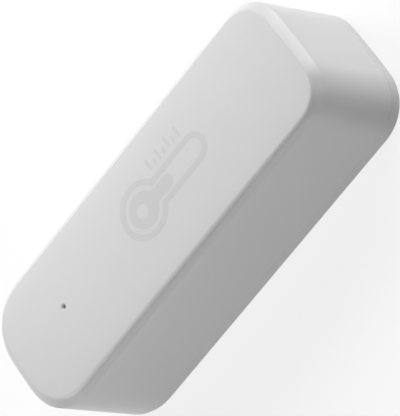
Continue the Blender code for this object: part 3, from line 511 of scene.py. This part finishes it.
def make_screw(name, node, head_height, shank, finish):
    """A pan-head screw, head down: a turned head with a cross recess, and a threaded shank.

    The head's radius is R (flat + (1 - flat) sin(t)) and its height falls with cos(t) from its rim
    to its flat. The shank's radius is r - depth * |2 t - 1| where t = (z / pitch - a / 2 pi) mod 1,
    which winds the thread's crest once round the shank for each pitch.
    """
    low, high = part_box(node)
    x, y = (low.x + high.x) / 2, (low.y + high.y) / 2
    place = (x, y, 0.0)
    head = (high.x - low.x) / 2
    seat, tip = low.z + head_height, high.z
    dome = arc(0.0, PI / 2, DOME_STEPS)
    head_profile = np.vstack([
        [[AXIS_RADIUS, low.z], [head * HEAD_FLAT, low.z]],
        np.column_stack([head * (HEAD_FLAT + (1 - HEAD_FLAT) * np.sin(dome)),
                         seat - head_height * (HEAD_RIM + (1 - HEAD_RIM) * np.cos(dome))]),
        [[head, seat - HEAD_CHAMFER], [head - HEAD_CHAMFER, seat], [shank + NECK, seat]]])
    a = np.linspace(0.0, 2 * PI, SCREW_STEPS, endpoint=False)
    z = np.linspace(seat + NECK, tip - THREAD_END * shank,
                    int((tip - seat) / THREAD_PITCH * THREAD_ROWS))
    turn = (z[:, None] / THREAD_PITCH - a / (2 * PI)) % 1.0
    fade = ((z - z[0]) / (2 * THREAD_PITCH)).clip(0.0, 1.0)[:, None]
    radius = shank - THREAD_DEPTH * fade * np.abs(2 * turn - 1)
    body = np.stack([x + radius * np.cos(a), y + radius * np.sin(a),
                     np.broadcast_to(z[:, None], radius.shape)], axis=-1)
    cone = [[shank * share, tip - drop * shank] for share, drop in TIP_SHARES]
    grid = np.vstack([turned_grid(head_profile, SCREW_STEPS, place), body,
                      turned_grid(np.array(cone), SCREW_STEPS, place)])
    screw = skin(name, grid, finish, SCREW_SMOOTH_BELOW)
    arm, half = head * CROSS_REACH, CROSS_WIDTH / 2
    levels = ((low.z - OVERSHOOT, 1.0), (low.z, 1.0),
              (low.z + CROSS_DEPTH * head_height, CROSS_TAPER))
    arms = []
    for number, (wide, deep) in enumerate(((arm, half), (half, arm))):
        ring = np.array([[-wide, -deep], [wide, -deep], [wide, deep], [-wide, deep]])
        arms.append(skin(f"{name}_cross_{number}", np.stack([
            np.column_stack([ring * share + [x, y], np.full(4, level)])
            for level, share in levels]), None))
    return cut_away(screw, arms)


# Finishes
NOISE_SPAN = (0.3, 0.7)


def ramp(tree, source, low, high, span):
    """Carries a value from its span to between low and high, and holds it at both ends."""
    node = tree.nodes.new("ShaderNodeMapRange")
    node.inputs["From Min"].default_value = span[0]
    node.inputs["From Max"].default_value = span[1]
    node.inputs["To Min"].default_value = low
    node.inputs["To Max"].default_value = high
    tree.links.new(source, node.inputs["Value"])
    return node.outputs["Result"]


def noise(tree, coordinates, scale, detail, roughness=0.5):
    """Fractal noise with features about 1 / scale metres across."""
    node = tree.nodes.new("ShaderNodeTexNoise")
    node.inputs["Scale"].default_value = scale
    node.inputs["Detail"].default_value = detail
    node.inputs["Roughness"].default_value = roughness
    tree.links.new(coordinates, node.inputs["Vector"])
    return node.outputs["Fac"]


def finish(name, colour, roughness, metallic=0.0, *, mottle, mottle_scale=120.0, grain_scale,
           grain_height, spread=0.06, stretch=None, **sockets):
    """A Principled finish: a colour that drifts a little, grain as bump, uneven roughness.

    The colour goes from (1 - mottle) to (1 + mottle) times itself with slow noise, and the
    roughness by plus and minus the spread. A stretch squeezes the noise along one axis.
    """
    made = bpy.data.materials.new(name)
    made.use_nodes = True
    tree = made.node_tree
    shader = tree.nodes["Principled BSDF"]
    where = tree.nodes.new("ShaderNodeTexCoord").outputs["Object"]
    if stretch is not None:
        mapping = tree.nodes.new("ShaderNodeMapping")
        mapping.inputs["Scale"].default_value = stretch
        tree.links.new(where, mapping.inputs["Vector"])
        where = mapping.outputs["Vector"]
    slow = noise(tree, where, mottle_scale, 2.0)
    grain = noise(tree, where, grain_scale, 3.0, 0.6)
    blend = tree.nodes.new("ShaderNodeMix")
    blend.data_type = "RGBA"
    blend.inputs["A"].default_value = (*[min(c * (1 - mottle), 1.0) for c in colour], 1.0)
    blend.inputs["B"].default_value = (*[min(c * (1 + mottle), 1.0) for c in colour], 1.0)
    tree.links.new(ramp(tree, slow, 0.0, 1.0, NOISE_SPAN), blend.inputs["Factor"])
    tree.links.new(blend.outputs["Result"], shader.inputs["Base Color"])
    uneven = ramp(tree, grain, max(roughness - spread, 0.02), roughness + spread, NOISE_SPAN)
    tree.links.new(uneven, shader.inputs["Roughness"])
    bump = tree.nodes.new("ShaderNodeBump")
    bump.inputs["Strength"].default_value = 1.0
    bump.inputs["Distance"].default_value = grain_height
    tree.links.new(grain, bump.inputs["Height"])
    tree.links.new(bump.outputs["Normal"], shader.inputs["Normal"])
    shader.inputs["Metallic"].default_value = metallic
    for socket, value in sockets.items():
        shader.inputs[socket.replace("_", " ")].default_value = value
    return made


SHELL_PLASTIC = finish("shell_plastic", (0.80, 0.80, 0.80), 0.33, mottle=0.006, mottle_scale=60.0,
                       grain_scale=5200.0, grain_height=0.0000016, spread=0.04)
COVER_PLASTIC = finish("cover_plastic", (0.80, 0.80, 0.80), 0.36, mottle=0.008, mottle_scale=70.0,
                       grain_scale=4200.0, grain_height=0.000003, spread=0.05)
MARKING_PRINT = finish("marking_print", (0.745, 0.745, 0.745), 0.50, mottle=0.01,
                       mottle_scale=900.0, grain_scale=7000.0, grain_height=0.000001)
HOLDER_PLASTIC = finish("holder_plastic", (0.025, 0.025, 0.027), 0.48, mottle=0.10,
                        mottle_scale=400.0, grain_scale=5000.0, grain_height=0.000006)
CIRCUIT_BOARD = finish("circuit_board", (0.02, 0.13, 0.05), 0.30, mottle=0.12, mottle_scale=700.0,
                       grain_scale=3000.0, grain_height=0.000004)
CHIP_BLACK = finish("chip_black", (0.018, 0.018, 0.019), 0.42, mottle=0.15, mottle_scale=1500.0,
                    grain_scale=14000.0, grain_height=0.000003)
CERAMIC_TAN = finish("ceramic_tan", (0.45, 0.33, 0.22), 0.45, mottle=0.08, mottle_scale=2500.0,
                     grain_scale=16000.0, grain_height=0.000002)
SCREW_STEEL = finish("screw_steel", (0.56, 0.57, 0.60), 0.30, 1.0, mottle=0.06,
                     mottle_scale=1200.0, grain_scale=9000.0, grain_height=0.000002)
CONTACT_STEEL = finish("contact_steel", (0.66, 0.64, 0.60), 0.26, 1.0, mottle=0.05,
                       mottle_scale=800.0, grain_scale=5000.0, grain_height=0.000002)
SHIELD_TIN = finish("shield_tin", (0.66, 0.66, 0.64), 0.34, 1.0, mottle=0.05, mottle_scale=500.0,
                    grain_scale=4000.0, grain_height=0.000002, stretch=(1.0, 0.15, 1.0))
CAN_ALUMINIUM = finish("can_aluminium", (0.72, 0.72, 0.73), 0.32, 1.0, mottle=0.04,
                       mottle_scale=900.0, grain_scale=6000.0, grain_height=0.000002,
                       stretch=(1.0, 1.0, 0.2))
ANTENNA_BRASS = finish("antenna_brass", (0.72, 0.50, 0.22), 0.28, 1.0, mottle=0.08,
                       mottle_scale=900.0, grain_scale=9000.0, grain_height=0.000002)
CELL_SLEEVE = finish("cell_sleeve", (0.04, 0.15, 0.36), 0.28, mottle=0.04, mottle_scale=200.0,
                     grain_scale=3000.0, grain_height=0.000002, Coat_Weight=0.3)
FILTER_WHITE = finish("filter_white", (0.72, 0.72, 0.71), 0.90, mottle=0.08, mottle_scale=3500.0,
                      grain_scale=12000.0, grain_height=0.00002)
CLEAR_PLASTIC = finish("clear_plastic", (0.92, 0.94, 0.95), 0.08, mottle=0.01, grain_scale=3000.0,
                       grain_height=0.0000005, spread=0.03, Transmission_Weight=0.9, IOR=1.49)
LED_LENS = finish("led_lens", (0.80, 0.74, 0.42), 0.22, mottle=0.05, mottle_scale=3000.0,
                  grain_scale=12000.0, grain_height=0.000001)


def dress(finish_made, *nodes):
    """Gives solids that stay as they are a finish of their own."""
    for node in nodes:
        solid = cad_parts[node]
        solid.data.materials.clear()
        solid.data.materials.append(finish_made)


def stand_for(piece, slot, *nodes):
    """Rides a piece on the only body and hides the solids it replaces; its slot is not used."""
    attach(piece, "root")
    if nodes:
        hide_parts(*nodes)
    return piece


stand_for(make_shell(SHELL_PLASTIC), "shell_plastic", "front_shell")
stand_for(make_cover(COVER_PLASTIC), "cover_plastic", "back_cover")
for mark in make_marking(MARKING_PRINT):
    stand_for(mark, "shell_plastic")
for number in range(1, 5):
    node = f"cover_screw_{number}"
    screw = make_screw(f"case_screw_{number}", node, CASE_HEAD_HEIGHT, CASE_SHANK, SCREW_STEEL)
    stand_for(screw, "screw_steel", node)
dress(CIRCUIT_BOARD, "main_board", "radio_module")
dress(SCREW_STEEL, "board_screw")
dress(HOLDER_PLASTIC, "battery_holder")
dress(CELL_SLEEVE, "battery_cell")
dress(CONTACT_STEEL, "positive_contact", "battery_spring")
dress(ANTENNA_BRASS, "antenna")
dress(SHIELD_TIN, "radio_shield")
dress(CAN_ALUMINIUM, "storage_capacitor", "crystal")
dress(CHIP_BLACK, "humidity_sensor", "microcontroller", "memory_chip", "voltage_regulator",
      "power_choke", "chip_resistor_1", "chip_resistor_2")
dress(CERAMIC_TAN, "chip_capacitor_1", "chip_capacitor_2", "chip_capacitor_3")
dress(FILTER_WHITE, "sensor_filter")
dress(CLEAR_PLASTIC, "light_pipe")
dress(LED_LENS, "status_led")


# Studio: the floor's size and greys, and the even light
FLOOR_REACH = 2.8
FLOOR_OPENING = 0.0002
FLOOR_LEVEL = -0.00005
FLOOR_COLOUR = 0.35
SHOWN_WHITE = 0.78
SHOWN_DIFFUSE = 0.28
FLOOR_FADE = (0.08, 0.30)
AMBIENT = 0.04
CARD_LEVEL = -0.00002


def seen_directly(tree):
    """1 for camera, glossy and transmission rays, 0 for the light that falls on things."""
    path = tree.nodes.new("ShaderNodeLightPath")
    total = path.outputs["Is Camera Ray"]
    for name in ("Is Glossy Ray", "Is Transmission Ray"):
        either = tree.nodes.new("ShaderNodeMath")
        either.operation = "MAXIMUM"
        tree.links.new(total, either.inputs[0])
        tree.links.new(path.outputs[name], either.inputs[1])
        total = either.outputs[0]
    return total


def make_floor():
    """A wide pale floor that looks white, takes the object's soft shadow and is clear from below.

    It is open under the object, so that the lamp below reaches its back: a ring of quads from the
    housing's outline, moved in, to the same outline's directions at a fixed reach.
    Its shown brightness is glow + (1 - glow) * fade, and what falls on it counts less as the fade
    goes from 0 near the object to 1 further out.
    """
    made = bpy.data.materials.new("studio_floor")
    made.cycles.emission_sampling = "NONE"
    made.use_nodes = True
    tree = made.node_tree
    tree.nodes.clear()

    def joined(kind, factor, first, second):
        shader = tree.nodes.new(kind)
        if factor is not None:
            tree.links.new(factor, shader.inputs[0])
        tree.links.new(first.outputs[0], shader.inputs[-2])
        tree.links.new(second.outputs[0], shader.inputs[-1])
        return shader

    def diffuse(grey):
        shader = tree.nodes.new("ShaderNodeBsdfDiffuse")
        shader.inputs["Color"].default_value = (grey, grey, grey, 1.0)
        return shader

    def glow(strength):
        shader = tree.nodes.new("ShaderNodeEmission")
        shader.inputs["Strength"].default_value = strength
        return shader

    distance = tree.nodes.new("ShaderNodeVectorMath")
    distance.operation = "LENGTH"
    tree.links.new(tree.nodes.new("ShaderNodeTexCoord").outputs["Object"], distance.inputs[0])
    fade = ramp(tree, distance.outputs["Value"], 0.0, 1.0, FLOOR_FADE)
    near = joined("ShaderNodeAddShader", None, diffuse(SHOWN_DIFFUSE), glow(SHOWN_WHITE))
    shown = joined("ShaderNodeMixShader", fade, near, glow(1.0))
    from_above = joined("ShaderNodeMixShader", seen_directly(tree), diffuse(FLOOR_COLOUR), shown)
    below = tree.nodes.new("ShaderNodeMath")
    below.operation = "MULTIPLY"
    tree.links.new(tree.nodes.new("ShaderNodeNewGeometry").outputs["Backfacing"], below.inputs[0])
    tree.links.new(tree.nodes.new("ShaderNodeLightPath").outputs["Is Camera Ray"], below.inputs[1])
    clear = tree.nodes.new("ShaderNodeBsdfTransparent")
    floor_look = joined("ShaderNodeMixShader", below.outputs[0], from_above, clear)
    output = tree.nodes.new("ShaderNodeOutputMaterial")
    tree.links.new(floor_look.outputs[0], output.inputs["Surface"])
    inner = housing_grid([FLOOR_OPENING], [0.0])[0, :, :2]
    outer = FLOOR_REACH * inner / np.linalg.norm(inner, axis=1, keepdims=True)
    count = len(inner)
    corners = np.column_stack([np.vstack([inner, outer]), np.full(2 * count, FLOOR_LEVEL)])
    here = np.arange(count)
    there = np.roll(here, -1)
    mesh = bpy.data.meshes.new("studio_floor")
    mesh.from_pydata(corners.tolist(), [],
                     np.column_stack([here, here + count, there + count, there]).tolist())
    mesh.materials.append(made)
    floor = bpy.data.objects.new("studio_floor", mesh)
    bpy.context.scene.collection.objects.link(floor)


def add_card(name, corners, brightness):
    """A flat card of its own brightness, from dark up, that shows only in the object's gloss."""
    made = bpy.data.materials.new(name)
    made.use_nodes = True
    tree = made.node_tree
    tree.nodes.clear()
    glow = tree.nodes.new("ShaderNodeEmission")
    glow.inputs["Strength"].default_value = brightness
    output = tree.nodes.new("ShaderNodeOutputMaterial")
    tree.links.new(glow.outputs[0], output.inputs["Surface"])
    mesh = bpy.data.meshes.new(name)
    mesh.from_pydata(corners, [], [(0, 1, 2, 3)])
    mesh.materials.append(made)
    card = bpy.data.objects.new(name, mesh)
    bpy.context.scene.collection.objects.link(card)
    card.visible_camera = card.visible_diffuse = card.visible_shadow = False
    card.visible_transmission = False


# Cards on the floor: x from, x to, y from, y to, brightness
FLOOR_CARDS = [
    ("floor_card_side", 0.014, 0.032, -0.070, 0.044, 0.76),
    ("floor_card_corner", 0.014, 0.032, 0.044, 0.080, 1.21),
    ("floor_card_end", -0.060, 0.014, 0.044, 0.060, 1.31),
    ("floor_card_near", 0.048, 0.075, -0.070, -0.020, 2.82),
    ("floor_card_middle", 0.048, 0.075, -0.020, 0.020, 0.94),
    ("floor_card_far", 0.075, 0.120, -0.070, -0.020, 1.75),
]
# Cards round the object: reach, azimuth from, to, elevation from, to in degrees, brightness.
# The dark one stands behind the others.
UPRIGHT_CARDS = [
    ("card_beyond_low", 1.0, 5, 45, 0, 12, 2.80),
    ("card_beyond", 1.0, 15, 45, 12, 30, 1.00),
    ("card_beyond_end", 1.0, 45, 75, 12, 30, 1.29),
    ("card_end", 1.0, 75, 105, 12, 30, 1.04),
    ("card_near", 1.0, -105, -75, 30, 60, 3.02),
    ("card_near_side", 1.0, -75, -45, 30, 60, 4.46),
    ("card_left_end", 1.0, 135, 165, 30, 60, 2.66),
    ("card_left", 1.0, 165, 195, 30, 60, 1.72),
    ("card_right_dark", 1.5, -45, 15, 0, 60, 0.0),
]


def make_cards():
    """The cards of both tables, the upright ones cut from a ball by azimuth and elevation."""
    for name, x0, x1, y0, y1, brightness in FLOOR_CARDS:
        add_card(name, [(x0, y0, CARD_LEVEL), (x1, y0, CARD_LEVEL), (x1, y1, CARD_LEVEL),
                        (x0, y1, CARD_LEVEL)], brightness)
    for name, reach, a0, a1, e0, e1, brightness in UPRIGHT_CARDS:
        turns = np.radians([[a0, e0], [a1, e0], [a1, e1], [a0, e1]])
        azimuth, elevation = turns.T
        corners = reach * np.column_stack([np.cos(azimuth) * np.cos(elevation),
                                           np.sin(azimuth) * np.cos(elevation), np.sin(elevation)])
        add_card(name, corners.tolist(), brightness)


def make_world():
    """Even soft light all round, seen as plain white."""
    world = bpy.data.worlds.new("studio_world")
    bpy.context.scene.world = world
    world.cycles.sampling_method = "NONE"
    world.use_nodes = True
    tree = world.node_tree
    tree.nodes.clear()
    output = tree.nodes.new("ShaderNodeOutputWorld")

    def sky(strength):
        made = tree.nodes.new("ShaderNodeBackground")
        made.inputs["Color"].default_value = (1.0, 1.0, 1.0, 1.0)
        made.inputs["Strength"].default_value = strength
        return made.outputs[0]

    mix = tree.nodes.new("ShaderNodeMixShader")
    tree.links.new(seen_directly(tree), mix.inputs[0])
    tree.links.new(sky(AMBIENT), mix.inputs[1])
    tree.links.new(sky(1.0), mix.inputs[2])
    tree.links.new(mix.outputs[0], output.inputs["Surface"])


def add_light(name, place, target, width, height, power):
    """A soft rectangular lamp at a place, facing a target."""
    lamp = bpy.data.lights.new(name, "AREA")
    lamp.shape = "RECTANGLE"
    lamp.size = width
    lamp.size_y = height
    lamp.energy = power
    holder = bpy.data.objects.new(name, lamp)
    bpy.context.scene.collection.objects.link(holder)
    holder.visible_camera = False
    holder.location = place
    toward = Vector(target) - Vector(place)
    holder.rotation_euler = toward.to_track_quat("-Z", "Y").to_euler()


MIDDLE = (0.0, 0.0, 0.012)
FACE_MIDDLE = (0.0, 0.0, 0.020)
# Lamps: name, place, target, width, height, power
LAMPS = [
    ("key_lamp", (-0.197, 0.341, 0.069), MIDDLE, 0.20, 0.20, 0.926),
    ("edge_lamp", (-0.206, 0.305, 0.158), MIDDLE, 0.09, 0.09, 0.053),
    ("left_end_lamp", (-0.279, 0.279, 0.069), MIDDLE, 0.20, 0.20, 0.034),
    ("left_lamp", (-0.273, -0.158, 0.246), MIDDLE, 0.20, 0.20, 0.747),
    ("left_near_lamp", (-0.120, 0.0, 0.080), MIDDLE, 0.06, 0.24, 0.055),
    ("face_lamp", (-0.060, 0.080, 0.100), FACE_MIDDLE, 0.05, 0.05, 0.011),
    ("near_high_lamp", (0.158, -0.273, 0.246), MIDDLE, 0.20, 0.20, 0.157),
    ("near_low_lamp", (0.200, -0.346, 0.028), MIDDLE, 0.20, 0.20, 0.063),
    ("near_side_lamp", (0.282, -0.282, 0.028), MIDDLE, 0.20, 0.20, 0.223),
    ("right_side_lamp", (0.346, -0.200, 0.028), MIDDLE, 0.20, 0.20, 0.071),
    ("right_lamp", (0.399, 0.0, 0.028), MIDDLE, 0.20, 0.20, 0.213),
    ("right_near_lamp", (0.140, 0.0, 0.030), MIDDLE, 0.05, 0.24, 0.029),
    ("right_end_lamp", (0.197, 0.341, 0.069), MIDDLE, 0.20, 0.20, 0.106),
    ("below_lamp", (0.050, -0.050, -0.450), MIDDLE, 0.30, 0.30, 1.000),
]

make_floor()
make_cards()
make_world()
for lamp in LAMPS:
    add_light(*lamp)

# Camera, at the photograph's angle
CAMERA_PLACE = (0.2729448, 0.2178116, 0.4344397)
CAMERA_AXES = Matrix(((0.516510, -0.696593, 0.497972),
                      (0.581377, 0.712250, 0.393320),
                      (-0.628664, 0.086356, 0.772867)))
camera_data = bpy.data.cameras.new("photo_camera")
camera_data.lens = 262.0386
camera_data.sensor_width = 36.0
camera_data.sensor_fit = "AUTO"
camera_data.clip_start = 0.01
camera_data.clip_end = 20.0
camera = bpy.data.objects.new("photo_camera", camera_data)
bpy.context.scene.collection.objects.link(camera)
camera.matrix_world = Matrix.Translation(CAMERA_PLACE) @ CAMERA_AXES.to_4x4()
bpy.context.scene.camera = camera
bpy.context.scene.view_settings.view_transform = "Standard"
